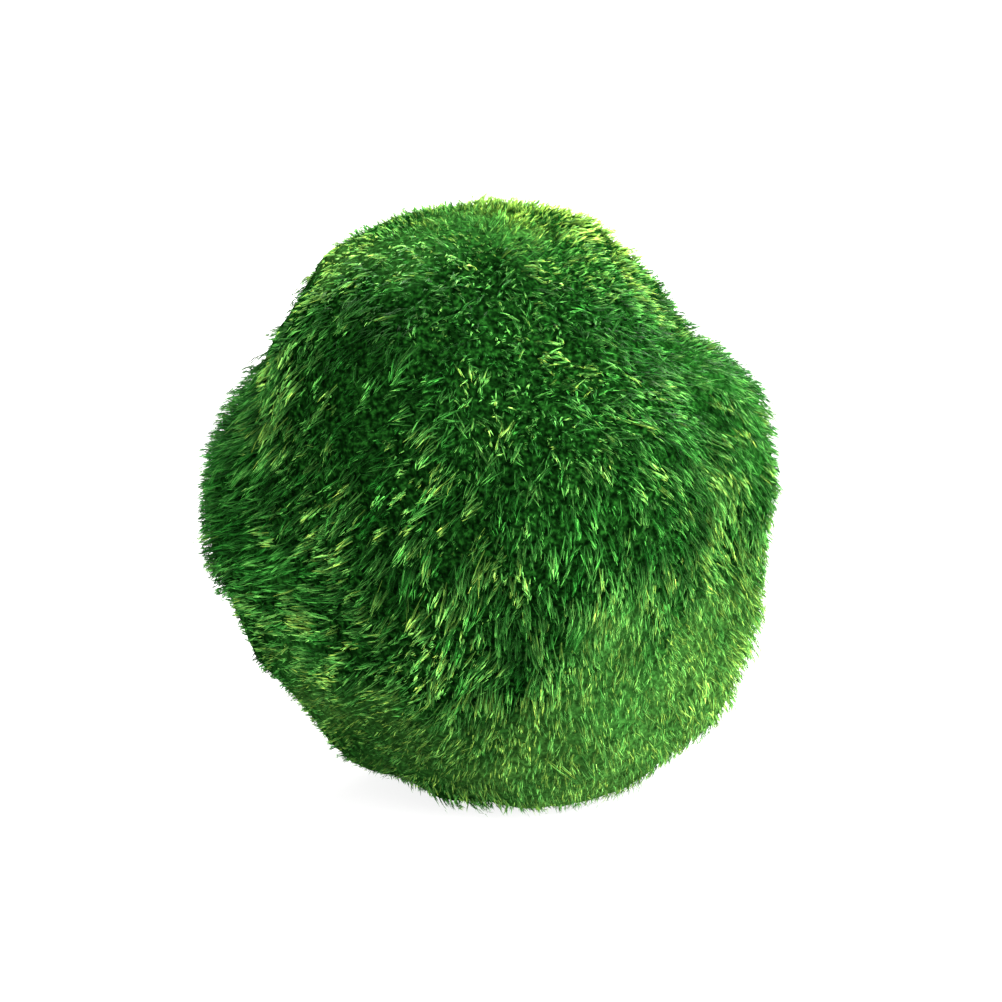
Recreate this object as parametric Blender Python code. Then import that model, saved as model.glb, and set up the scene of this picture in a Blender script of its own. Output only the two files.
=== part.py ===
"""Marimo moss ball: one lumpy ball of felted green filaments that lies on a small flat spot.

Metres, +Z up. The origin is at the level of the flat spot, under the middle of the ball's width and
depth, and the side that is seen first faces -Y. The ball is about 50 mm wide.
"""
import math
import random

import bmesh
import bpy
from mathutils import Matrix, Vector

BALL_NAME = "marimo_moss_ball"
NODE_NAME = "moss_ball"
MM = 0.001

# The ball is a cluster of round lobes that have grown together. Each has its centre, in millimetres
# to the right of, behind and above the heart of the ball, and its radius. The heart is at the origin
# until the ball is set down on its flat spot.
LOBES_MM = {
    "heart": ((0.0, 1.0, -1.5), 21.0),
    "crown": ((-2.3, -1.0, 8.5), 18.2),
    "crest": ((0.9, 4.5, 10.5), 15.6),
    "left": ((-10.5, 3.0, -0.4), 15.15),
    "left_low": ((-9.2, 1.5, -5.4), 13.9),
    "right": ((12.1, 1.5, 3.8), 12.5),
    "right_low": ((11.35, 1.0, -3.4), 12.4),
    "lower_right": ((7.3, -1.0, -8.5), 15.3),
    "lower_left": ((-4.3, -0.5, -6.7), 16.2),
    "seat": ((0.5, 2.0, -8.0), 18.2),
    "foot": ((3.0, -2.0, -12.5), 14.0),
    "heel": ((-4.5, -1.5, -11.5), 12.6),
    "brow": ((3.0, -8.0, 3.0), 15.5),
    "back": ((-1.0, 9.0, -4.5), 16.0),
    "nape": ((2.5, 9.5, 6.5), 14.0),
    "back_left": ((-9.0, 9.5, 3.5), 12.0),
    "back_low": ((7.0, 8.0, -9.0), 14.0),
}
LOBE_BLEND = 0.9 * MM  # how softly one lobe runs into the next
SEAT_DEPTH = 25.2 * MM  # the flat spot lies this far below the heart

# The filaments hang together in locks that lie on the ball like tiles and point down its sides.
LOCK_COUNT = 80
LOCK_LENGTH = (11.0 * MM, 16.0 * MM)
LOCK_WIDTH = (7.0 * MM, 10.0 * MM)
LOCK_HEIGHT = (0.6 * MM, 1.1 * MM)
LOCK_RISE_END = 0.68  # a lock thickens along this share of its length, and then drops to its tip
LOCK_TIP_WIDTH = 0.45  # the width at the tip over the width at the root
LOCK_JITTER = 0.12  # how far a root strays from its even place, on a ball of radius 1
LOCK_TURN = math.radians(22)
COMB_DIRECTION = Vector((-0.12, 0.0, -1.0))
RELIEF_LEVEL = 0.4 * MM  # taken off everywhere, so that the locks stand on the lobes' own size
LOCK_REACH = 0.5  # least cosine of the angle between a lock's root and the places that it can reach
SEED = 23

MESH_CELLS = 27  # squares along each side of the even ball that the form starts from
MOSS_COLOR = (0.045, 0.185, 0.022, 1.0)
MOSS_ROUGHNESS = 0.9


def clear_scene():
    for item in list(bpy.data.objects):
        bpy.data.objects.remove(item)


def lobe_reach(direction):
    """How far the grown-together lobes reach from the heart along a direction."""
    total = 0.0
    for center_mm, radius_mm in LOBES_MM.values():
        center = Vector(center_mm) * MM
        along = center.dot(direction)
        across_squared = center.length_squared - along ** 2
        half_chord = math.sqrt(max((radius_mm * MM) ** 2 - across_squared, 0.0))
        total += math.exp((along + half_chord) / LOBE_BLEND)
    return LOBE_BLEND * math.log(total)


def comb(direction):
    """The way the moss lies at a place on the ball: down its side, square to the direction."""
    return (COMB_DIRECTION - direction * COMB_DIRECTION.dot(direction)).normalized()


def spread_directions(count):
    """Directions spaced evenly over a sphere, in a spiral by the golden angle from top to bottom."""
    golden_angle = math.pi * (3.0 - math.sqrt(5.0))
    for step in range(count):
        height = 1.0 - (2.0 * step + 1.0) / count
        ring = math.sqrt(1.0 - height ** 2)
        turn = golden_angle * step
        yield Vector((ring * math.cos(turn), ring * math.sin(turn), height))


def grow_locks():
    """One lock for each even place: where it is rooted, which way it points, and its size."""
    dice = random.Random(SEED)
    locks = []
    for direction in spread_directions(LOCK_COUNT):
        stray = Vector([dice.uniform(-LOCK_JITTER, LOCK_JITTER) for _ in range(3)])
        root = (direction + stray).normalized()
        turn = Matrix.Rotation(dice.uniform(-LOCK_TURN, LOCK_TURN), 3, root)
        locks.append({
            "root": root,
            "heading": turn @ comb(root),
            "reach": lobe_reach(root),
            "length": dice.uniform(*LOCK_LENGTH),
            "width": dice.uniform(*LOCK_WIDTH),
            "height": dice.uniform(*LOCK_HEIGHT),
        })
    return locks


def smooth_step(low, high, value):
    share = min(max((value - low) / (high - low), 0.0), 1.0)
    return share * share * (3.0 - 2.0 * share)


def lock_height(lock, direction):
    """How high one lock stands at a place on the ball."""
    if direction.dot(lock["root"]) < LOCK_REACH:
        return 0.0
    offset = (direction - lock["root"]) * lock["reach"]
    along = offset.dot(lock["heading"]) / lock["length"] + 0.5
    sideways = offset.dot(lock["root"].cross(lock["heading"]))
    if not 0.0 < along < 1.0:
        return 0.0
    half_width = 0.5 * lock["width"] * (1.0 - (1.0 - LOCK_TIP_WIDTH) * along ** 2)
    across = abs(sideways) / half_width
    if across >= 1.0:
        return 0.0
    thickness = smooth_step(0.0, LOCK_RISE_END, along) * (1.0 - smooth_step(LOCK_RISE_END, 1.0, along))
    return lock["height"] * thickness * (1.0 - across ** 2)


def surface_point(direction, locks):
    """The point of the moss in a direction from the heart, pressed flat where the ball lies."""
    relief = max(lock_height(lock, direction) for lock in locks)
    point = direction * (lobe_reach(direction) + relief - RELIEF_LEVEL)
    if point.z < -SEAT_DEPTH:
        point *= -SEAT_DEPTH / point.z
        point.z = -SEAT_DEPTH
    return point


def even_ball():
    """A ball of even squares: a finely divided cube whose points are turned into directions."""
    shape = bmesh.new()
    bmesh.ops.create_cube(shape, size=2.0)
    bmesh.ops.subdivide_edges(shape, edges=shape.edges, cuts=MESH_CELLS - 1, use_grid_fill=True)
    for vertex in shape.verts:
        vertex.co = Vector([math.tan(value * math.pi / 4.0) for value in vertex.co]).normalized()
    return shape


def set_down(shape):
    """Moves the ball so that it lies on z = 0, with its width and depth centred on the origin."""
    middle = Vector()
    for axis in (0, 1):
        places = [vertex.co[axis] for vertex in shape.verts]
        middle[axis] = (min(places) + max(places)) / 2.0
    middle.z = -SEAT_DEPTH
    bmesh.ops.translate(shape, verts=shape.verts, vec=-middle)


def moss_material():
    material = bpy.data.materials.new("moss")
    material.use_nodes = True
    shader = material.node_tree.nodes["Principled BSDF"]
    shader.inputs["Base Color"].default_value = MOSS_COLOR
    shader.inputs["Roughness"].default_value = MOSS_ROUGHNESS
    shader.inputs["Metallic"].default_value = 0.0
    material.diffuse_color = MOSS_COLOR
    return material


def make_moss_ball(collection):
    locks = grow_locks()
    shape = even_ball()
    for vertex in shape.verts:
        vertex.co = surface_point(vertex.co.copy(), locks)
    set_down(shape)
    bmesh.ops.triangulate(shape, faces=shape.faces, quad_method="SHORT_EDGE")
    bmesh.ops.recalc_face_normals(shape, faces=shape.faces)
    mesh = bpy.data.meshes.new(NODE_NAME)
    shape.to_mesh(mesh)
    shape.free()
    mesh.shade_smooth()
    mesh.materials.append(moss_material())
    ball = bpy.data.objects.new(NODE_NAME, mesh)
    collection.objects.link(ball)
    return ball


def main():
    clear_scene()
    collection = bpy.data.collections.new(BALL_NAME)
    bpy.context.scene.collection.children.link(collection)
    make_moss_ball(collection)


main()
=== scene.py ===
"""The looks of the marimo moss ball: drooping green filaments over a felted body painted dark with their
shade.

The filaments are mesh. They stand together in small locks, a few locks lean together in a wisp, and many
in a tuft. Comb strokes say which way they lie, and spots say how they differ from place to place in length
and colour, the colour partly the moss's own and partly painted light and shade. Metres, +Z up. A place on
the ball is given by its turn, in degrees from the seen side towards the right, and its rise, in degrees
above the ball's middle.
"""
import math
from typing import NamedTuple

import bpy
import numpy as np
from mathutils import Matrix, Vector
from mathutils.bvhtree import BVHTree
from mathutils.kdtree import KDTree


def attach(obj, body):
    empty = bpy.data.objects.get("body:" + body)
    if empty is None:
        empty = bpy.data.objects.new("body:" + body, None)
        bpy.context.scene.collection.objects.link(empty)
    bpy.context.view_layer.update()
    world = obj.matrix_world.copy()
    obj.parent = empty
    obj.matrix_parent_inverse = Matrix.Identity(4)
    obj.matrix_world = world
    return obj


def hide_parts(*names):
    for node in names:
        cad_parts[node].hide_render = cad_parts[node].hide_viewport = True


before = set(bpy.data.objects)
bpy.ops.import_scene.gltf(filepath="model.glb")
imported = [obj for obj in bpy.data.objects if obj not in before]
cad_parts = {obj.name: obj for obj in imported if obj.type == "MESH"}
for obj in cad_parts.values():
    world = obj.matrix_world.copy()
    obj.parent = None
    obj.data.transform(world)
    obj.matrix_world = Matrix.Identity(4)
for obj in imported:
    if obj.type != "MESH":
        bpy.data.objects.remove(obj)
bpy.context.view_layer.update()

MM = 0.001
NODE = "moss_ball"
SEED = 11

# The ball's heart, which places on the ball are measured from
HEART = Vector((0.0, 0.0, 25.2 * MM))

# The felted body under the filaments, which comes nearer to their tips where haze lies over them
WELD_GAP = 0.001 * MM
FELT_SMOOTHING = 0.5  # how far each point moves towards its neighbours' middle, in each round
FELT_SMOOTHING_ROUNDS = 3
FELT_DEPTH = 0.55 * MM
HAZE_FELT_RISE = 0.65 * MM
FELT_LUMP_SIZE = 1.6 * MM
FELT_LUMP_HEIGHT = 0.5 * MM
# The felt's colour under haze carries the filaments' painted shade and the spots' painted light
HAZE_LAYER = "haze_color"  # the felt's colour under haze, and how much of it

# The filaments stand in locks, a few locks lean together in a wisp, and many in a tuft. A lock has one bent
# blade of bunched filaments, rooted in the felt, and straight filaments that branch off along it. Every
# third lock has a fine stray hair that reaches beyond it.
TUFT_COUNT = 640
WISP_COUNT = 5000
LOCK_COUNT = 30000
BRANCHES_IN_LOCK = 5
LOCKS_PER_STRAY = 3
SECTORS = ("moss_back_left", "moss_left", "moss_front", "moss_right", "moss_back_right")

# The sizes of the filaments, and where they start and end along their lock, from its root, 0, to its tip, 1
ROOT_DEPTH = 0.95 * MM
TIP_LIFT = 0.80 * MM
PRESSED_GAP = 0.05 * MM  # how far above the ground the pressed filaments lie at least
KNEE = 0.66  # where a filament bends over
KNEE_BULGE = 0.14  # how far the knee stands off the straight line, over the lock's length
BLADE_WIDTH = (0.09 * MM, 0.15 * MM)
BLADE_ROOT_WIDTH = 0.7  # over the width at the knee
BLADE_OFFSET = 0.04 * MM
BLADE_STRAY = 0.05 * MM
BLADE_END = (0.84, 1.04)
BRANCH_WIDTH = (0.06 * MM, 0.10 * MM)
BRANCH_START = (0.15, 0.50)
BRANCH_END = (0.80, 1.04)
BRANCH_SPREAD = 0.16 * MM
BRANCH_START_SPREAD = 0.6  # over the spread at its end
BRANCH_STRAY = 0.09 * MM
STRAY_WIDTH = (0.035 * MM, 0.060 * MM)
STRAY_START = (0.45, 0.65)
STRAY_END = (1.04, 1.24)
STRAY_RISE = 0.30 * MM  # how far the end of a stray hair stands off at most

# The tips lean towards the middle line of their tuft and wisp, by a share of the way there, and dip along
# the borders between them
TUFT_GATHER = 0.15
WISP_GATHER = 0.60
TUFT_DIP = 0.45 * MM
WISP_DIP = 0.45 * MM
BORDER_SHARE = 0.45  # how wide a border is, over the spacing of the tufts or wisps

# How far tufts, wisps and single locks stray: from their even places on a ball of radius 1, from the comb's
# heading and lay, and from the spots' lift
TUFT_SCATTER = 0.035
WISP_SCATTER = 0.012
LOCK_SCATTER = 0.010
TUFT_TURN = math.radians(9)
WISP_TURN = 0.6  # over the comb's tousle
LOCK_TURN = 0.7  # over the comb's tousle
TUFT_LAY = math.radians(6)
WISP_LAY = math.radians(4)
LOCK_LAY = math.radians(6)
LAY_RANGE = (math.radians(4), math.radians(66))
TUFT_LIFT = 0.12 * MM
WISP_LIFT = 0.17 * MM
LOCK_LIFT = 0.10 * MM
HAZE_FRIZZ = 2.0  # how much more the filaments of a lock splay under full haze

# How far they stray in pigment, light and tone. The bright values times a power of a random number are
# added to the pigment, so that only a few wisps, locks and filaments are much brighter than the rest
TUFT_PIGMENT = 0.09
WISP_PIGMENT = 0.12
LOCK_PIGMENT = 0.07
FILAMENT_PIGMENT = 0.10
BRIGHT_WISP = 0.38
BRIGHT_LOCK = 0.22
BRIGHT_POWER = 3.0
BRIGHT_FILAMENT = 0.2
BRIGHT_FILAMENT_POWER = 4.0
# painted shade along the partings between tufts and wisps
BORDER_PAINTED_SHADE = 0.08  # how much lower the pigment is along the borders of tufts and wisps
HAZE_PIGMENT_SHARE = 0.4  # of the locks' strays in pigment, what is left under full haze
WISP_LIGHT = 0.10
BLADE_TONE = 0.10
BRANCH_TONE = 0.13

# The unit filament, and its map: pigment in a narrow strip along the first axis, root to tip on the second
FILAMENT_SIDES = 3
END_REACH = 0.01  # how near to its end a point counts as its root or tip
MAP_STRIP = 0.0025
MAP_MARGIN = 0.01
ROOT_CAP_ALONG = 0.03  # one corner of the closed root, so that its face has an area on the map

# Slanted directions that the sides of filaments and of normals are measured from
FILAMENT_SIDE_FROM = np.array((0.31, 0.22, 0.925))
NORMAL_SIDE_FROM = np.array((0.12, 0.31, 0.94))
SHORTEST = 1e-12  # a vector shorter than this has no direction

# Comb strokes: place on the ball (turn, rise), heading (right, back, up), lay, the angle in degrees between
# the filaments and the surface's normal, and tousle, how many degrees the locks there stray from the heading
COMB_REACH = 19.0  # in degrees
COMB_FLOOR = 1e-9  # the least weight of a stroke, which it has everywhere
COMB_STROKES = {
    "brow": ((13, 42), (0.0, 0.0, -1.0), 44, 65),
    "below_brow": ((8, 14), (0.0, 0.0, -1.0), 52, 12),
    "belly": ((8, -26), (0.0, 0.0, -1.0), 58, 8),
    "foot": ((8, -60), (0.0, 0.0, -1.0), 36, 20),
    "right_cheek": ((44, 24), (0.8, 0.0, -0.6), 52, 13),
    "right_of_belly": ((36, 2), (-0.15, 0.0, -1.0), 58, 12),
    "right_flank": ((57, 4), (-0.4, 0.0, -1.0), 61, 14),
    "lower_right": ((50, -27), (0.0, 0.0, -1.0), 42, 30),
    "far_right": ((95, 10), (0.0, 0.3, -1.0), 46, 24),
    "far_right_low": ((95, -35), (0.0, 0.1, -1.0), 42, 26),
    "left_cheek": ((-23, 21), (-0.7, 0.0, -0.7), 57, 10),
    "left": ((-53, 17), (-0.5, 0.0, -0.9), 56, 12),
    "left_low": ((-52, -12), (-0.8, 0.3, 0.0), 58, 10),
    "lower_left": ((-40, -20), (-1.0, 0.3, -0.25), 58, 10),
    "lower_left_corner": ((-38, -39), (-1.0, 0.2, 0.5), 26, 45),
    "left_of_belly": ((-18, -8), (-0.2, 0.0, -1.0), 60, 9),
    "bottom_left": ((-20, -38), (-0.65, 0.0, -0.6), 50, 16),
    "far_left": ((-95, 5), (-0.1, 0.5, -0.6), 36, 26),
    "far_left_low": ((-90, -35), (-0.2, 0.7, 0.1), 32, 28),
    "left_temple": ((-58, 46), (0.15, 0.0, -1.0), 60, 22),
    "left_forehead": ((-18, 57), (-0.2, 0.0, -1.0), 58, 30),
    "right_forehead": ((40, 55), (1.0, 0.0, -0.1), 44, 40),
    "crown": ((-28, 81), (-0.1, -0.1, 0.0), 22, 60),
    "crest": ((71, 76), (0.5, 0.0, 0.0), 26, 45),
    "crest_right": ((82, 58), (0.3, 0.0, -1.0), 34, 30),
    "nape": ((170, 55), (0.1, 1.0, -0.4), 34, 32),
    "back": ((180, 15), (0.2, 0.0, -1.0), 50, 18),
    "back_low": ((175, -30), (-0.3, 0.0, -1.0), 52, 18),
    "back_left": ((-135, 10), (0.4, 0.3, -1.0), 50, 20),
    "back_left_low": ((-135, -35), (0.6, 0.5, -0.6), 52, 18),
    "back_right": ((135, 8), (-0.3, 0.3, -1.0), 50, 20),
    "back_right_low": ((135, -35), (-0.2, 0.4, -1.0), 50, 18),
    "under": ((0, -85), (0.3, -0.3, 0.0), 58, 40),
}

# Pigment runs from 0, deep blue-green, to 1, yellow-green. Haze evens out the locks and the painted shade
# along them, and below 0 it sets them off
PIGMENT_LEVEL = 0.385
PIGMENT_TOP = 0.88  # the most that single locks stray to, outside the yellow crest
LOCK_PIGMENT_RANGE = (0.02, 0.98)
FILAMENT_PIGMENT_RANGE = (0.01, 0.985)
HAZE_LEVEL = -0.25
HAZE_RANGE = (-1.0, 0.95)
HAZE_SHARE = 0.47  # the share of the way along a filament whose shade all of it takes under full haze
SOFT_FROM_HAZE = (0.2, 0.6)  # a lock is shaded smooth if its haze is above a random number between these
PIGMENT_STOPS = (
    (0.0, (0.012, 0.140, 0.015)),
    (0.25, (0.042, 0.305, 0.037)),
    (0.50, (0.131, 0.540, 0.088)),
    (0.72, (0.260, 0.735, 0.142)),
    (0.90, (0.430, 0.895, 0.185)),
    (1.0, (0.700, 0.930, 0.140)),
)

# The painted shade from a filament's root, deep among the others, to its tip, which its pigment is multiplied
# by
PAINTED_ROOT_SHADE_STOPS = (
    (0.0, (0.02, 0.04, 0.03)),
    (0.35, (0.09, 0.14, 0.12)),
    (0.60, (0.38, 0.46, 0.42)),
    (0.82, (0.85, 0.88, 0.84)),
    (1.0, (1.00, 1.00, 1.00)),
)

# Each spot has its place and its reach in degrees, and what it adds there: lift in millimetres, pigment,
# haze, and light, a shift along the filaments' painted shade towards that of their tips. Besides the moss's
# own patches of colour, the spots' pigment and light paint light and shade: a painted glow of light from
# behind on the yellow crest and rims, painted light on the lower right, painted highlights on ridges, brows,
# streaks and bumps, and painted shade in hollows, gaps, dips, the temple and the cheek. Smooth waves make
# the borders of the spots uneven
SPOT_WAVES = 14
SPOT_WAVE_RATE = 10.0  # how fast the waves run, in radians over the ball's radius
SPOT_WAVER = 0.16  # how far each wave shifts a border, over the reach of the spot
SPOT_MIX = math.radians(2.5)  # how far the wisps stray into a neighbouring spot's looks
SPOTS = {
    "crest_rim": ((78, 62), 14, 0.08, 0.36, 0.05, 0.03),
    "crest_back": ((118, 66), 18, 0.05, 0.46, 0.0, 0.20),
    "crown_rim": ((165, 74), 19, 0.05, 0.44, 0.1, 0.10),
    "crown": ((0, 84), 16, 0.0, 0.22, 0.35, -0.04),
    "forehead": ((-35, 66), 16, 0.0, 0.0, 0.3, -0.04),
    "upper_left_rim": ((-75, 60), 17, -0.40, 0.30, 0.2, 0.10),
    "temple_rim": ((-66, 54), 10, -0.10, 0.20, 0.1, 0.12),
    "right_rim": ((82, 14), 15, 0.25, 0.02, 0.4, 0.02),
    "right_rim_high": ((80, 31), 12, -0.05, 0.0, 0.4, -0.04),
    "right_rim_low": ((77, -24), 24, 0.40, 0.48, 0.3, 0.06),
    "lower_right": ((38, -30), 27, 0.0, 0.27, 0.60, 0.02),
    "bottom": ((8, -48), 17, 0.0, 0.28, 0.25, 0.02),
    "front_foot": ((12, -66), 14, 0.45, 0.12, 0.35, 0.0),
    "belly": ((3, -14), 10, 0.0, -0.08, 0.0, -0.09),
    "belly_right": ((24, -6), 8, 0.05, 0.0, 0.0, 0.04),
    "belly_low": ((-5, -32), 11, 0.0, 0.0, 0.0, -0.14),
    "right_cheek": ((48, 6), 11, 0.0, -0.11, 0.0, -0.30),
    "right_brow": ((25, 33), 10, 0.0, 0.03, 0.0, 0.16),
    "right_notch": ((60, 46), 15, -0.10, -0.20, 0.2, 0.0),
    "right_shoulder": ((54, 26), 15, 0.0, -0.04, 0.2, 0.04),
    "left_side": ((-38, 8), 26, 0.0, 0.0, -0.45, 0.0),
    "left_streaks": ((-22, 11), 12, 0.10, 0.02, -0.3, -0.02),
    "left_hollow": ((-37, 23), 9, -0.45, -0.12, -0.2, -0.22),
    "left_ridge": ((-19, 12), 8, 0.15, 0.32, -0.2, 0.42),
    "left_brow": ((-40, 6), 7, 0.15, 0.14, -0.2, 0.20),
    "left_temple": ((-27, 46), 12, -0.30, -0.32, 0.1, -0.50),
    "left_bump": ((-61, 24), 9, 0.10, 0.20, 0.0, 0.20),
    "left_valley": ((-51, 20), 6, -0.35, -0.10, -0.2, -0.06),
    "left_gap": ((-61, 9), 6, -0.35, -0.08, -0.2, -0.12),
    "left_low_gap": ((-42, -13), 7, -0.15, -0.10, -0.2, -0.20),
    "left_edge": ((-86, 8), 19, 0.80, -0.14, 0.45, -0.05),
    "left_notch": ((-82, 42), 9, -1.30, -0.05, 0.0, 0.0),
    "left_edge_low": ((-59, -12), 17, 0.0, -0.04, 0.4, 0.22),
    "low_hollow": ((-23, -9), 8, -0.50, -0.28, -0.2, -0.40),
    "low_streaks": ((-14, -18), 11, 0.15, 0.24, -0.4, 0.40),
    "middle_gap": ((-9, 8), 9, -0.25, -0.16, -0.2, -0.26),
    "middle_ridge": ((20, 9), 9, 0.05, 0.04, 0.0, 0.15),
    "olive_foot": ((-27, -50), 17, -0.05, 0.42, 0.60, -0.13),
    "olive_corner": ((-48, -38), 12, 0.0, 0.30, 0.30, -0.07),
    "olive_flank": ((-38, -21), 15, 0.0, 0.14, 0.25, 0.04),
    "lower_left_rim": ((-77, -40), 18, -0.35, 0.18, 0.45, 0.02),
    "left_underside": ((-33, -72), 16, -0.75, 0.0, 0.0, 0.0),
    "left_notch_rim": ((-97, 28), 6, -0.60, 0.0, 0.0, 0.0),
    "left_shoulder": ((-94, 15), 8, 0.35, 0.0, 0.0, 0.0),
    "dome_left_rim": ((-110, 64), 12, -0.45, 0.0, 0.0, 0.0),
    "right_corner": ((79, -34), 7, 0.55, 0.0, 0.0, 0.0),
    "chin": ((13, 16), 7, -0.10, -0.12, 0.0, -0.16),
    "crest_side": ((86, 52), 13, 0.0, 0.22, 0.1, 0.0),
    "foot_right": ((58, -56), 16, 0.10, 0.26, 0.55, 0.0),
    "brow": ((-6, 43), 8, 0.0, 0.03, 0.0, 0.20),
    "cheek_gap": ((-9, 26), 7, -0.10, -0.06, 0.0, -0.09),
    "cheek_ridge": ((-20, 23), 6, 0.05, 0.10, -0.1, 0.10),
    "brow_low": ((4, 34), 6, 0.0, 0.02, 0.0, 0.09),
    "flank_gap": ((-30, -23), 6, 0.0, -0.04, 0.0, -0.10),
    "left_dip": ((-30, 3), 6, -0.20, -0.12, -0.2, -0.16),
}

# The filaments' faint gloss, and the felt's colours and small lumps. The felt's near-black colours are
# painted shade deep among the filaments
FILAMENT_ROUGHNESS = 0.6
FILAMENT_SPECULAR = 0.06
FILAMENT_SPECULAR_TINT = (0.5, 1.0, 0.3, 1.0)
FELT_NOISE_SCALE = 2500.0
FELT_NOISE_DETAIL = 4.0
FELT_BUMP_STRENGTH = 0.8
FELT_BUMP_HEIGHT = 0.2 * MM
# painted shade: the felt is almost black where the filaments shade it
FELT_PAINTED_SHADE_STOPS = (
    (0.35, (0.0004, 0.0030, 0.0004)),
    (0.52, (0.0018, 0.0140, 0.0016)),
    (0.68, (0.0080, 0.0520, 0.0060)),
)
FELT_MOTTLE_STOPS = (
    (0.35, (0.30, 0.36, 0.30)),
    (0.52, (0.62, 0.66, 0.60)),
    (0.68, (1.00, 1.00, 1.00)),
)

# The floor, and the lights by name: place, size in metres, power in watts, and colour
WHITE = (1.0, 1.0, 1.0, 1.0)
FLOOR_SIZE = 8.0
FLOOR_COLOR = (0.12, 0.12, 0.12, 1.0)
FLOOR_ROUGHNESS = 0.9
FLOOR_GLOW = 0.85
LIGHTS = {
    "key": ((1.20, -0.65, 0.62), 1.1, 105.0, (1.0, 1.0, 0.97)),
    "fill": ((-0.45, -1.30, 0.80), 1.2, 24.0, (0.98, 1.0, 1.0)),
    "rim": ((0.30, 1.00, 1.05), 0.9, 165.0, (1.0, 1.0, 0.94)),
}

# The camera: the ball's heart is seen at this pixel of a square picture
PICTURE_PIXELS = 1002
HEART_PIXEL = (487.0, 506.0)
MM_PER_PIXEL = 50.0 / 578.0
CAMERA_RISE = 15.0  # in degrees
LENS_MM = 100.0
SENSOR_MM = 36.0
NEAREST_SEEN = 0.01
FARTHEST_SEEN = 20.0


def on_ball(turn, rise):
    """The direction of a place on the ball."""
    turn, rise = math.radians(turn), math.radians(rise)
    level = math.cos(rise)
    return np.array((math.sin(turn) * level, -math.cos(turn) * level, math.sin(rise)))


def unit(vectors):
    """The vectors at length 1, but for those that have no direction."""
    return vectors / np.maximum(np.linalg.norm(vectors, axis=-1, keepdims=True), SHORTEST)


def along_surface(vectors, normals):
    """The part of each vector that lies in the surface."""
    return vectors - normals * (vectors * normals).sum(-1, keepdims=True)


def nearness(directions, place, reach):
    """1 at a place on the ball, falling off with the angle from it."""
    angle = np.degrees(np.arccos(np.clip(directions @ on_ball(*place), -1.0, 1.0)))
    return np.exp(-((angle / reach) ** 2))


def spread_directions(count, dice, scatter):
    """Directions spaced evenly over a sphere by the golden angle, each scattered a little."""
    golden_angle = math.pi * (3.0 - math.sqrt(5.0))
    step = np.arange(count) + 0.5
    height = 1.0 - 2.0 * step / count
    turn = golden_angle * step
    ring = np.sqrt(1.0 - height ** 2)
    even = np.stack((ring * np.cos(turn), ring * np.sin(turn), height), 1)
    return unit(even + dice.normal(0.0, scatter, (count, 3)))


def deselect_all():
    bpy.ops.object.select_all(action="DESELECT")


def make_active(piece):
    deselect_all()
    piece.select_set(True)
    bpy.context.view_layer.objects.active = piece


def welded_copy(name):
    """A copy of the ball's solid, its triangles joined, each divided in three and rounded a little."""
    piece = bpy.data.objects.new(name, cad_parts[NODE].data.copy())
    bpy.context.scene.collection.objects.link(piece)
    piece.data.materials.clear()
    make_active(piece)
    bpy.ops.object.mode_set(mode="EDIT")
    bpy.ops.mesh.select_all(action="SELECT")
    bpy.ops.mesh.remove_doubles(threshold=WELD_GAP)
    bpy.ops.object.mode_set(mode="OBJECT")
    smooth = piece.modifiers.new("smooth", "SUBSURF")
    smooth.levels = smooth.render_levels = 1
    bpy.ops.object.modifier_apply(modifier=smooth.name)
    return piece


class Skin:
    """The ball's outer surface, which roots and tips are measured from."""

    def __init__(self, piece):
        mesh = piece.data
        self.tree = BVHTree.FromPolygons(
            [vertex.co for vertex in mesh.vertices],
            [tuple(polygon.vertices) for polygon in mesh.polygons],
        )
        normals = np.zeros(len(mesh.vertices) * 3)
        mesh.vertices.foreach_get("normal", normals)
        corners = np.zeros(len(mesh.loops), dtype=np.int32)
        mesh.loops.foreach_get("vertex_index", corners)
        starts = np.zeros(len(mesh.polygons), dtype=np.int32)
        mesh.polygons.foreach_get("loop_start", starts)
        self.normals = unit(np.add.reduceat(normals.reshape(-1, 3)[corners], starts))

    def meet(self, directions):
        """Where rays from the heart leave the ball, and the normals there."""
        points = np.empty((len(directions), 3))
        faces = np.empty(len(directions), dtype=np.int64)
        for index, direction in enumerate(directions):
            point, _, face, _ = self.tree.ray_cast(HEART, Vector(direction))
            points[index] = point
            faces[index] = face
        return points, self.normals[faces]


def comb(directions, normals):
    """At each place: the heading of the filaments along the surface, and their lay and tousle in radians."""
    heading = np.zeros_like(directions)
    lay = np.zeros(len(directions))
    tousle = np.zeros(len(directions))
    total = np.zeros(len(directions))
    for place, stroke, lay_degrees, tousle_degrees in COMB_STROKES.values():
        weight = nearness(directions, place, COMB_REACH) + COMB_FLOOR
        way = unit(along_surface(np.broadcast_to(np.array(stroke), directions.shape), normals))
        heading += way * weight[:, None]
        lay += weight * math.radians(lay_degrees)
        tousle += weight * math.radians(tousle_degrees)
        total += weight
    return unit(along_surface(heading, normals)), lay / total, tousle / total


def waver(directions):
    """A smooth uneven shift for each direction: the sum of waves that each push their own way."""
    dice = np.random.default_rng(SEED)
    shift = np.zeros_like(directions)
    for _ in range(SPOT_WAVES):
        run = directions @ dice.normal(0.0, SPOT_WAVE_RATE, 3)
        wave = np.sin(run + dice.uniform(0.0, 2.0 * math.pi))
        shift += wave[:, None] * unit(dice.normal(0.0, 1.0, 3)) * SPOT_WAVER
    return shift


def spots_at(directions):
    """Lift, pigment, haze and light at each place, with what the spots add there, partly painted light and
    shade.
    """
    lift, pigment, haze, light = np.zeros((4, len(directions)))
    shift = waver(directions)
    for place, reach, *changes in SPOTS.values():
        near = nearness(unit(directions + shift * math.radians(reach)), place, reach)
        lift += changes[0] * MM * near
        pigment += changes[1] * near
        haze += changes[2] * near
        light += changes[3] * near
    return TIP_LIFT + lift, PIGMENT_LEVEL + pigment, np.clip(HAZE_LEVEL + haze, *HAZE_RANGE), light


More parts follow.
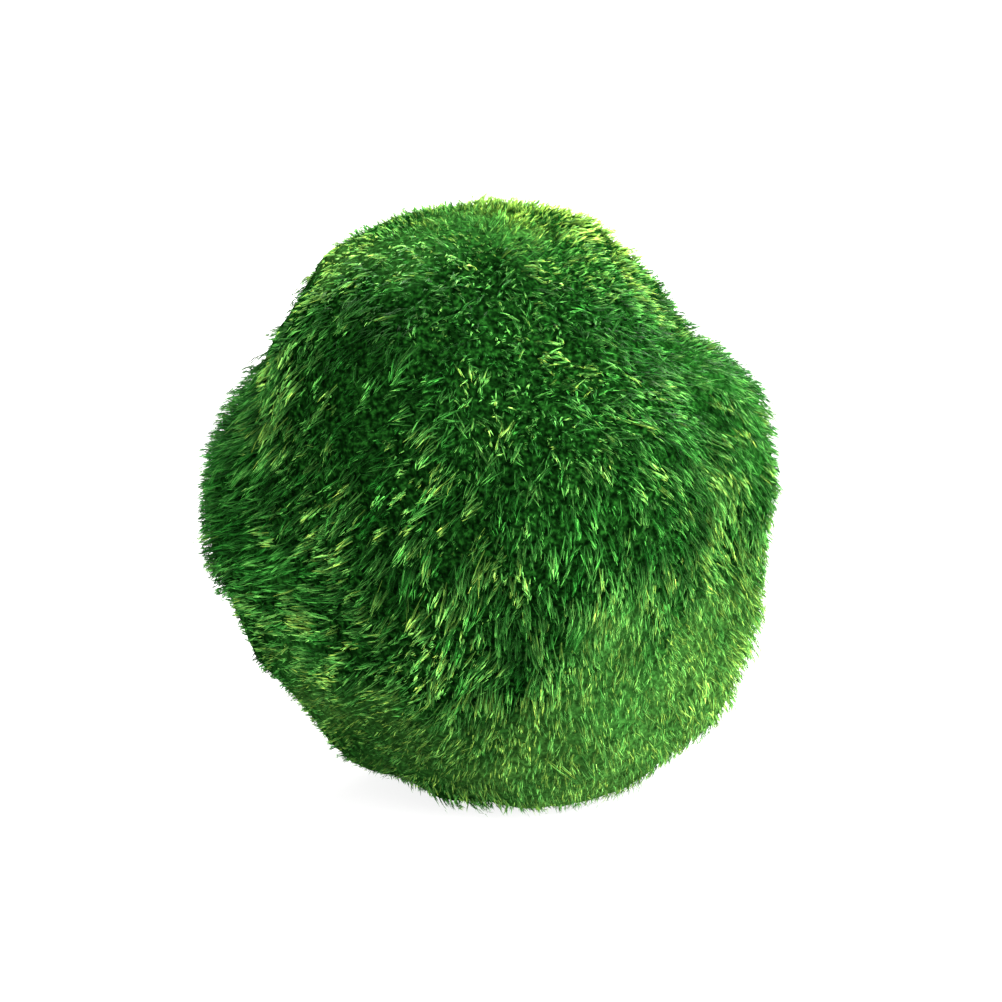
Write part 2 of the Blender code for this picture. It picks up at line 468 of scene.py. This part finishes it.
def spike(name, bent):
    """One filament of unit length and width along +Z: a closed spike, with a ring at its knee if it is a
    bent one."""
    deselect_all()
    bpy.ops.mesh.primitive_cone_add(
        vertices=FILAMENT_SIDES,
        radius1=1.0,
        radius2=0.0,
        depth=1.0,
        location=(0.0, 0.0, 0.5),
        end_fill_type="NGON",
    )
    strand = bpy.context.active_object
    strand.name = name
    if bent:
        bpy.ops.object.mode_set(mode="EDIT")
        bpy.ops.mesh.select_all(action="SELECT")
        bpy.ops.mesh.bisect(plane_co=(0.0, 0.0, KNEE), plane_no=(0.0, 0.0, 1.0))
        bpy.ops.object.mode_set(mode="OBJECT")
        for vertex in strand.data.vertices:
            at_root = vertex.co.z < END_REACH
            at_tip = vertex.co.z > 1.0 - END_REACH
            if not at_tip:
                vertex.co.xy = vertex.co.xy.normalized() * (BLADE_ROOT_WIDTH if at_root else 1.0)
    return strand


class Template:
    """A filament's points and faces as arrays, for planting many at once."""

    def __init__(self, strand):
        mesh = strand.data
        self.points = np.array([vertex.co for vertex in mesh.vertices])
        self.corners = np.array([loop.vertex_index for loop in mesh.loops])
        self.sizes = np.array([len(polygon.vertices) for polygon in mesh.polygons])
        height = self.points[:, 2]
        side_turn = 2.0 * math.pi / FILAMENT_SIDES
        side = np.round(np.arctan2(self.points[:, 1], self.points[:, 0]) / side_turn)
        self.across = np.where(height > 1.0 - END_REACH, 0.0, side)[self.corners]
        self.along = height[self.corners]
        for polygon in mesh.polygons:
            if all(height[index] < END_REACH for index in polygon.vertices):
                self.along[polygon.loop_start] = ROOT_CAP_ALONG
        bpy.data.objects.remove(strand)


class Filaments(NamedTuple):
    """The lock of each filament, where it starts, bends and ends, how wide it is, its roll about its own
    line, its pigment, its painted shade at its low and high end, and whether its faces are shaded smooth."""

    lock: np.ndarray
    starts: np.ndarray
    knees: np.ndarray
    ends: np.ndarray
    widths: np.ndarray
    rolls: np.ndarray
    pigments: np.ndarray
    low: np.ndarray
    high: np.ndarray
    soft: np.ndarray

    def of_locks(self, chosen):
        rows = np.flatnonzero(chosen[self.lock])
        return Filaments(*(column[rows] for column in self))

    def grown(self, template):
        """Points and map of one copy of the template for each filament."""
        chord = unit(self.ends - self.starts)
        side = unit(np.cross(chord, FILAMENT_SIDE_FROM))
        other = np.cross(chord, side)
        turned = side * np.cos(self.rolls)[:, None] + other * np.sin(self.rolls)[:, None]
        crossed = np.cross(chord, turned)
        height = template.points[:, 2]
        before = np.clip(height / KNEE, 0.0, 1.0)[None, :, None]
        after = np.clip((height - KNEE) / (1.0 - KNEE), 0.0, 1.0)[None, :, None]
        to_knee = (self.knees - self.starts)[:, None]
        to_end = (self.ends - self.knees)[:, None]
        line = self.starts[:, None] + to_knee * before + to_end * after
        spread = turned[:, None] * template.points[None, :, 0, None]
        spread = spread + crossed[:, None] * template.points[None, :, 1, None]
        points = line + spread * (0.5 * self.widths)[:, None, None]
        # The random roll also spreads the pressed filaments in height, so that they don't share a plane
        floor_gap = PRESSED_GAP * (1.0 + self.rolls)[:, None]
        points[:, :, 2] = np.maximum(points[:, :, 2], floor_gap)
        across = MAP_STRIP * template.across[None] + self.pigments[:, None]
        along = self.low[:, None] + (self.high - self.low)[:, None] * template.along[None]
        return points, np.stack((across, MAP_MARGIN + (1.0 - 2.0 * MAP_MARGIN) * along), 2)


def plant(name, kinds, material):
    """Joins the filaments of each kind, a pair of template and filaments, into a single mesh."""
    points, corners, sizes, maps, soft = [], [], [], [], []
    planted = 0
    for template, filaments in kinds:
        grown, chart = filaments.grown(template)
        count, points_each = grown.shape[:2]
        points.append(grown.reshape(-1, 3))
        maps.append(chart.reshape(-1, 2))
        first = planted + points_each * np.arange(count)[:, None]
        corners.append((template.corners[None] + first).ravel())
        sizes.append(np.tile(template.sizes, count))
        soft.append(np.repeat(filaments.soft, len(template.sizes)))
        planted += count * points_each
    points, corners = np.concatenate(points), np.concatenate(corners)
    sizes, maps = np.concatenate(sizes), np.concatenate(maps)
    starts = np.concatenate(([0], np.cumsum(sizes)[:-1]))
    mesh = bpy.data.meshes.new(name)
    mesh.vertices.add(len(points))
    mesh.vertices.foreach_set("co", points.astype(np.float32).ravel())
    mesh.loops.add(len(corners))
    mesh.loops.foreach_set("vertex_index", corners.astype(np.int32))
    mesh.polygons.add(len(sizes))
    mesh.polygons.foreach_set("loop_start", starts.astype(np.int32))
    layer = mesh.uv_layers.new(name="OFBake")
    layer.data.foreach_set("uv", maps.astype(np.float32).ravel())
    mesh.polygons.foreach_set("use_smooth", np.concatenate(soft))
    mesh.update(calc_edges=True)
    mesh.validate()
    piece = bpy.data.objects.new(name, mesh)
    bpy.context.scene.collection.objects.link(piece)
    mesh.materials.append(material)
    return piece


class Bunches:
    """Tufts or wisps: places spread over the ball, and the one that each lock belongs to."""

    def __init__(self, skin, ways, count, scatter, dice):
        centers = spread_directions(count, dice, scatter)
        tree = KDTree(count)
        for index, center in enumerate(centers):
            tree.insert(center, index)
        tree.balance()
        self.count = count
        self.dice = dice
        self.of_lock = np.empty(len(ways), dtype=np.int64)
        gap = np.empty(len(ways))
        for lock, way in enumerate(ways):
            near, next_near = tree.find_n(way, 2)
            self.of_lock[lock] = near[1]
            gap[lock] = next_near[2] - near[2]
        spacing = math.sqrt(4.0 * math.pi / count)
        self.border = 1.0 - np.clip(gap / (BORDER_SHARE * spacing), 0.0, 1.0)
        self.points = skin.meet(centers)[0][self.of_lock]

    def shared(self, spread, columns=None):
        """A random number for each bunch, or a few of them, shared by its locks."""
        shape = self.count if columns is None else (self.count, columns)
        return self.dice.normal(0.0, spread, shape)[self.of_lock]


class Locks:
    """The line that each lock of filaments follows from its root over its knee to its tip, and its looks.
    The tips are spread evenly over the ball, and each root lies back from its tip, against the comb."""

    def __init__(self, skin, dice):
        ways = spread_directions(LOCK_COUNT, dice, LOCK_SCATTER)
        self.turn = np.arctan2(ways[:, 0], -ways[:, 1])
        points, self.normals = skin.meet(ways)
        self.tufts = Bunches(skin, ways, TUFT_COUNT, TUFT_SCATTER, dice)
        self.wisps = Bunches(skin, ways, WISP_COUNT, WISP_SCATTER, dice)
        mixed = unit(ways + self.wisps.shared(SPOT_MIX, 3))
        lift, pigment, self.haze, self.light = spots_at(mixed)
        self.loose = 1.0 - self.haze
        heading, lay = self.combed(ways, dice)
        lift = self.strayed_lift(lift, dice)
        self.stand(skin, points, heading, lay, lift)
        self.tint(pigment, dice)

    def combed(self, ways, dice):
        """The heading and the lay of each lock, strayed from the comb's."""
        heading, lay, tousle = comb(ways, self.normals)
        turn = self.tufts.shared(TUFT_TURN)
        turn = turn + tousle * (WISP_TURN * self.wisps.shared(1.0) + dice.normal(0.0, LOCK_TURN, LOCK_COUNT))
        sideways = np.cross(self.normals, heading)
        heading = heading * np.cos(turn)[:, None] + sideways * np.sin(turn)[:, None]
        lay = lay + self.tufts.shared(TUFT_LAY) + self.wisps.shared(WISP_LAY)
        lay = lay + dice.normal(0.0, LOCK_LAY, LOCK_COUNT)
        return heading, np.clip(lay, *LAY_RANGE)

    def strayed_lift(self, lift, dice):
        """How high the tips stand over the surface, strayed from the spots' lift."""
        lift = lift + self.tufts.shared(TUFT_LIFT)
        lift = lift + self.loose * (self.wisps.shared(WISP_LIFT) + dice.normal(0.0, LOCK_LIFT, LOCK_COUNT))
        return lift - self.loose * (TUFT_DIP * self.tufts.border + WISP_DIP * self.wisps.border)

    def stand(self, skin, points, heading, lay, lift):
        """Sets each tip over its point of the surface, the root uphill of it, and the knee between them."""
        shift = (ROOT_DEPTH + lift) * np.tan(lay)
        back = unit(points - heading * shift[:, None] - np.array(HEART))
        root_points, root_normals = skin.meet(back)
        gather = (self.tufts.points - points) * TUFT_GATHER + (self.wisps.points - points) * WISP_GATHER
        sideways = np.cross(self.normals, heading)
        gather = sideways * (gather * sideways).sum(1)[:, None] * self.loose[:, None]
        self.roots = root_points - root_normals * ROOT_DEPTH
        self.tips = points + self.normals * lift[:, None] + gather
        length = np.linalg.norm(self.tips - self.roots, axis=1)
        bulge = self.normals * (KNEE_BULGE * length)[:, None]
        self.knees = self.roots + (self.tips - self.roots) * KNEE + bulge

    def tint(self, pigment, dice):
        """Gives each lock its pigment and light, strayed from the spots' painted light and shade and own
        colour, and its smooth or sharp faces.
        """
        stray = self.tufts.shared(TUFT_PIGMENT) + self.wisps.shared(WISP_PIGMENT)
        stray = stray + dice.normal(0.0, LOCK_PIGMENT, LOCK_COUNT)
        bright_wisps = dice.uniform(0.0, 1.0, WISP_COUNT)[self.wisps.of_lock] ** BRIGHT_POWER
        bright_locks = dice.uniform(0.0, 1.0, LOCK_COUNT) ** BRIGHT_POWER
        stray = stray + BRIGHT_WISP * bright_wisps
        stray = stray + BRIGHT_LOCK * bright_locks
        # painted shade along the borders of tufts and wisps, where they part
        stray = stray - BORDER_PAINTED_SHADE * (self.tufts.border + self.wisps.border)
        stray = stray * (HAZE_PIGMENT_SHARE + (1.0 - HAZE_PIGMENT_SHARE) * self.loose)
        lowest, highest = LOCK_PIGMENT_RANGE
        self.pigment = np.clip(pigment + stray, lowest, np.clip(pigment, PIGMENT_TOP, highest))
        self.light = self.light + self.loose * self.wisps.shared(WISP_LIGHT)
        self.soft = self.haze > dice.uniform(*SOFT_FROM_HAZE, LOCK_COUNT)

    def at(self, lock, share):
        """The points at a share of the way along the given locks."""
        share = share[:, None]
        before = np.clip(share / KNEE, 0.0, 1.0)
        after = np.clip((share - KNEE) / (1.0 - KNEE), 0.0, None)
        roots, knees, tips = self.roots[lock], self.knees[lock], self.tips[lock]
        return roots + (knees - roots) * before + (tips - knees) * after

    def shade(self, lock, share, tones):
        """The share of the way along the given locks, as their painted shade reads it: evened out by haze,
        and shifted by the locks' painted light and the filaments' own tones."""
        even = (HAZE_SHARE - share) * self.haze[lock]
        return np.clip(share + even + self.light[lock] + tones, 0.0, 1.0)

    def pigments(self, lock, dice):
        """A pigment for a filament of each given lock."""
        stray = dice.normal(0.0, FILAMENT_PIGMENT, len(lock))
        bright = dice.uniform(0.0, 1.0, len(lock)) ** BRIGHT_FILAMENT_POWER
        return np.clip(self.pigment[lock] + (stray + BRIGHT_FILAMENT * bright), *FILAMENT_PIGMENT_RANGE)

    def around(self, lock, dice):
        """A random offset to a side of each given lock, within a disc of radius 1."""
        normals = self.normals[lock]
        across = unit(np.cross(normals, NORMAL_SIDE_FROM))
        other = np.cross(normals, across)
        angle = random_turns(len(lock), dice)
        radius = np.sqrt(dice.uniform(0.0, 1.0, len(lock)))
        return across * (radius * np.cos(angle))[:, None] + other * (radius * np.sin(angle))[:, None]

    def filaments(self, lock, starts, knees, ends, widths, shares, tone, dice):
        """Filaments on the given lines, coloured as the part of their locks between the two shares."""
        tones = dice.normal(0.0, tone, len(lock))
        low, high = shares
        return Filaments(
            lock,
            starts,
            knees,
            ends,
            widths,
            rolls=random_turns(len(lock), dice),
            pigments=self.pigments(lock, dice),
            low=self.shade(lock, low, tones),
            high=self.shade(lock, high, tones),
            soft=self.soft[lock],
        )


def random_turns(count, dice):
    return dice.uniform(0.0, 2.0 * math.pi, count)


def blades(locks, dice):
    """The bent blade of each lock."""
    lock = np.arange(LOCK_COUNT)
    offset = locks.around(lock, dice) * BLADE_OFFSET
    reach = dice.uniform(*BLADE_END, LOCK_COUNT)
    starts = locks.roots + offset
    knees = locks.at(lock, KNEE * reach) + offset
    ends = locks.at(lock, reach) + dice.normal(0.0, BLADE_STRAY, (LOCK_COUNT, 3))
    widths = dice.uniform(*BLADE_WIDTH, LOCK_COUNT)
    return locks.filaments(lock, starts, knees, ends, widths, (0.0, 1.0), BLADE_TONE, dice)


def straight_filaments(locks, lock, start_range, end_range, width_range, rise, dice):
    """Straight filaments that branch off the given locks and end near the locks' tips."""
    count = len(lock)
    low = dice.uniform(*start_range, count)
    high = dice.uniform(*end_range, count)
    offset = locks.around(lock, dice) * BRANCH_SPREAD
    starts = locks.at(lock, low) + offset * BRANCH_START_SPREAD
    frizz = 1.0 + HAZE_FRIZZ * np.maximum(locks.haze[lock], 0.0)
    ends = locks.at(lock, high) + offset + dice.normal(0.0, BRANCH_STRAY, (count, 3)) * frizz[:, None]
    ends = ends + locks.normals[lock] * dice.uniform(0.0, rise, count)[:, None]
    knees = starts + (ends - starts) * KNEE
    widths = dice.uniform(*width_range, count)
    return locks.filaments(lock, starts, knees, ends, widths, (low, high), BRANCH_TONE, dice)


def grow_moss(skin, material):
    """All filaments, planted in five pieces round the ball."""
    dice = np.random.default_rng(SEED)
    locks = Locks(skin, dice)
    straight = Template(spike("straight_filament", bent=False))
    branched = np.repeat(np.arange(LOCK_COUNT), BRANCHES_IN_LOCK)
    strayed = np.arange(0, LOCK_COUNT, LOCKS_PER_STRAY)
    kinds = (
        (Template(spike("blade", bent=True)), blades(locks, dice)),
        (straight, straight_filaments(locks, branched, BRANCH_START, BRANCH_END, BRANCH_WIDTH, 0.0, dice)),
        (straight, straight_filaments(locks, strayed, STRAY_START, STRAY_END, STRAY_WIDTH, STRAY_RISE, dice)),
    )
    order = np.argsort(locks.turn, kind="stable")
    moss = []
    for name, sector in zip(SECTORS, np.array_split(order, len(SECTORS))):
        chosen = np.zeros(LOCK_COUNT, dtype=bool)
        chosen[sector] = True
        planted = [(template, filaments.of_locks(chosen)) for template, filaments in kinds]
        moss.append(plant(name, planted, material))
    return moss


def color_ramp(tree, stops, factor):
    ramp = tree.nodes.new("ShaderNodeValToRGB")
    elements = ramp.color_ramp.elements
    while len(elements) < len(stops):
        elements.new(0.5)
    for element, (position, color) in zip(elements, stops):
        element.position = position
        element.color = (*color, 1.0)
    tree.links.new(factor, ramp.inputs["Fac"])
    return ramp.outputs["Color"]


def ramp_at(stops, values):
    """The colours of a ramp at an array of values."""
    places, colors = zip(*stops)
    return np.stack([np.interp(values, places, channel) for channel in zip(*colors)], 1)


def mix_colors(tree, blend, first, second, factor=None):
    mix = tree.nodes.new("ShaderNodeMix")
    mix.data_type = "RGBA"
    mix.blend_type = blend
    mix.clamp_result = True
    mix.inputs["Factor"].default_value = 1.0
    if factor is not None:
        tree.links.new(factor, mix.inputs["Factor"])
    tree.links.new(first, mix.inputs["A"])
    tree.links.new(second, mix.inputs["B"])
    return mix.outputs["Result"]


def filament_material():
    """Green filaments: the map's first axis is their pigment, and its second runs from root to tip through
    painted shade.
    """
    material = bpy.data.materials.new("moss_filaments")
    material.use_nodes = True
    tree = material.node_tree
    shader = tree.nodes["Principled BSDF"]
    place = tree.nodes.new("ShaderNodeUVMap")
    place.uv_map = "OFBake"
    split = tree.nodes.new("ShaderNodeSeparateXYZ")
    tree.links.new(place.outputs["UV"], split.inputs["Vector"])
    pigment = color_ramp(tree, PIGMENT_STOPS, split.outputs["X"])
    # painted shade along each filament, darkest at the root
    depth = color_ramp(tree, PAINTED_ROOT_SHADE_STOPS, split.outputs["Y"])
    color = mix_colors(tree, "MULTIPLY", pigment, depth)
    tree.links.new(color, shader.inputs["Base Color"])
    shader.inputs["Roughness"].default_value = FILAMENT_ROUGHNESS
    shader.inputs["Specular IOR Level"].default_value = FILAMENT_SPECULAR
    shader.inputs["Specular Tint"].default_value = FILAMENT_SPECULAR_TINT
    return material


def felt_material():
    """Matted filaments under the locks: painted dark with the shade deep among the filaments, and greener
    under haze.
    """
    material = bpy.data.materials.new("moss_felt")
    material.use_nodes = True
    tree = material.node_tree
    shader = tree.nodes["Principled BSDF"]
    place = tree.nodes.new("ShaderNodeTexCoord")
    noise = tree.nodes.new("ShaderNodeTexNoise")
    noise.inputs["Scale"].default_value = FELT_NOISE_SCALE
    noise.inputs["Detail"].default_value = FELT_NOISE_DETAIL
    tree.links.new(place.outputs["Object"], noise.inputs["Vector"])
    # painted shade deep among the filaments
    dark = color_ramp(tree, FELT_PAINTED_SHADE_STOPS, noise.outputs["Fac"])
    mottle = color_ramp(tree, FELT_MOTTLE_STOPS, noise.outputs["Fac"])
    haze = tree.nodes.new("ShaderNodeAttribute")
    haze.attribute_name = HAZE_LAYER
    green = mix_colors(tree, "MULTIPLY", haze.outputs["Color"], mottle)
    color = mix_colors(tree, "MIX", dark, green, haze.outputs["Alpha"])
    tree.links.new(color, shader.inputs["Base Color"])
    bump = tree.nodes.new("ShaderNodeBump")
    bump.inputs["Strength"].default_value = FELT_BUMP_STRENGTH
    bump.inputs["Distance"].default_value = FELT_BUMP_HEIGHT
    tree.links.new(noise.outputs["Fac"], bump.inputs["Height"])
    tree.links.new(bump.outputs["Normal"], shader.inputs["Normal"])
    shader.inputs["Roughness"].default_value = 1.0
    shader.inputs["Specular IOR Level"].default_value = 0.0
    return material


def sink_felt(mesh):
    """Moves the felt in from the ball's surface, less where haze lies over it, and notes the haze and the
    felt's colour under it, with the filaments' painted shade and the spots' painted light.
    """
    points, normals = np.zeros((2, len(mesh.vertices) * 3))
    mesh.vertices.foreach_get("co", points)
    mesh.vertices.foreach_get("normal", normals)
    points, normals = points.reshape(-1, 3), normals.reshape(-1, 3)
    _, pigment, haze, light = spots_at(unit(points - np.array(HEART)))
    haze = np.maximum(haze, 0.0)
    points -= normals * (FELT_DEPTH - HAZE_FELT_RISE * haze)[:, None]
    points[:, 2] = np.maximum(points[:, 2], FELT_DEPTH)
    mesh.vertices.foreach_set("co", points.ravel())
    # painted shade halfway along a filament, shifted by the spots' painted light
    color = ramp_at(PIGMENT_STOPS, pigment) * ramp_at(PAINTED_ROOT_SHADE_STOPS, HAZE_SHARE + light)
    layer = mesh.attributes.new(HAZE_LAYER, "FLOAT_COLOR", "POINT")
    layer.data.foreach_set("color", np.column_stack((color, haze)).astype(np.float32).ravel())
    mesh.update()


def make_felt(felt):
    """Turns the welded copy of the ball into the felted body, sunk below the filaments' tips."""
    make_active(felt)
    bpy.ops.object.mode_set(mode="EDIT")
    bpy.ops.mesh.select_all(action="SELECT")
    bpy.ops.mesh.vertices_smooth(factor=FELT_SMOOTHING, repeat=FELT_SMOOTHING_ROUNDS)
    bpy.ops.object.mode_set(mode="OBJECT")
    sink_felt(felt.data)
    lumps = bpy.data.textures.new("felt_lumps", "CLOUDS")
    lumps.noise_scale = FELT_LUMP_SIZE
    swell = felt.modifiers.new("lumps", "DISPLACE")
    swell.texture = lumps
    swell.strength = FELT_LUMP_HEIGHT
    bpy.ops.object.modifier_apply(modifier=swell.name)
    felt.data.shade_smooth()
    felt.data.materials.append(felt_material())


def make_floor():
    deselect_all()
    bpy.ops.mesh.primitive_plane_add(size=FLOOR_SIZE, location=(0.0, 0.0, 0.0))
    floor = bpy.context.active_object
    floor.name = "floor"
    material = bpy.data.materials.new("floor_paper")
    material.use_nodes = True
    shader = material.node_tree.nodes["Principled BSDF"]
    shader.inputs["Base Color"].default_value = FLOOR_COLOR
    shader.inputs["Roughness"].default_value = FLOOR_ROUGHNESS
    shader.inputs["Emission Color"].default_value = WHITE
    shader.inputs["Emission Strength"].default_value = FLOOR_GLOW
    floor.data.materials.append(material)


def add_light(name, place, size, power, color):
    data = bpy.data.lights.new(name, "AREA")
    data.size = size
    data.energy = power
    data.color = color
    light = bpy.data.objects.new(name, data)
    light.location = place
    light.rotation_euler = (HEART - Vector(place)).to_track_quat("-Z", "Y").to_euler()
    bpy.context.scene.collection.objects.link(light)


def light_studio():
    for name, (place, size, power, color) in LIGHTS.items():
        add_light(name, place, size, power, color)
    world = bpy.data.worlds.new("studio")
    world.use_nodes = True
    background = world.node_tree.nodes["Background"]
    background.inputs["Color"].default_value = WHITE
    bpy.context.scene.world = world
    bpy.context.scene.view_settings.view_transform = "Standard"


def add_camera():
    rise = math.radians(CAMERA_RISE)
    right = Vector((1.0, 0.0, 0.0))
    up = Vector((0.0, math.sin(rise), math.cos(rise)))
    back = Vector((0.0, -math.cos(rise), math.sin(rise)))
    middle = PICTURE_PIXELS / 2.0
    aim = HEART + right * ((middle - HEART_PIXEL[0]) * MM_PER_PIXEL * MM)
    aim = aim + up * ((HEART_PIXEL[1] - middle) * MM_PER_PIXEL * MM)
    distance = PICTURE_PIXELS * MM_PER_PIXEL * MM * LENS_MM / SENSOR_MM
    data = bpy.data.cameras.new("camera")
    data.lens = LENS_MM
    data.sensor_width = SENSOR_MM
    data.clip_start = NEAREST_SEEN
    data.clip_end = FARTHEST_SEEN
    camera = bpy.data.objects.new("camera", data)
    camera.location = aim + back * distance
    camera.rotation_euler = back.to_track_quat("Z", "Y").to_euler()
    bpy.context.scene.collection.objects.link(camera)
    bpy.context.scene.camera = camera


def main():
    felt = welded_copy("moss_felt_body")
    skin = Skin(felt)
    moss = grow_moss(skin, filament_material())
    make_felt(felt)
    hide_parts(NODE)
    for piece in (felt, *moss):
        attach(piece, "root")
    make_floor()
    light_studio()
    add_camera()


main()
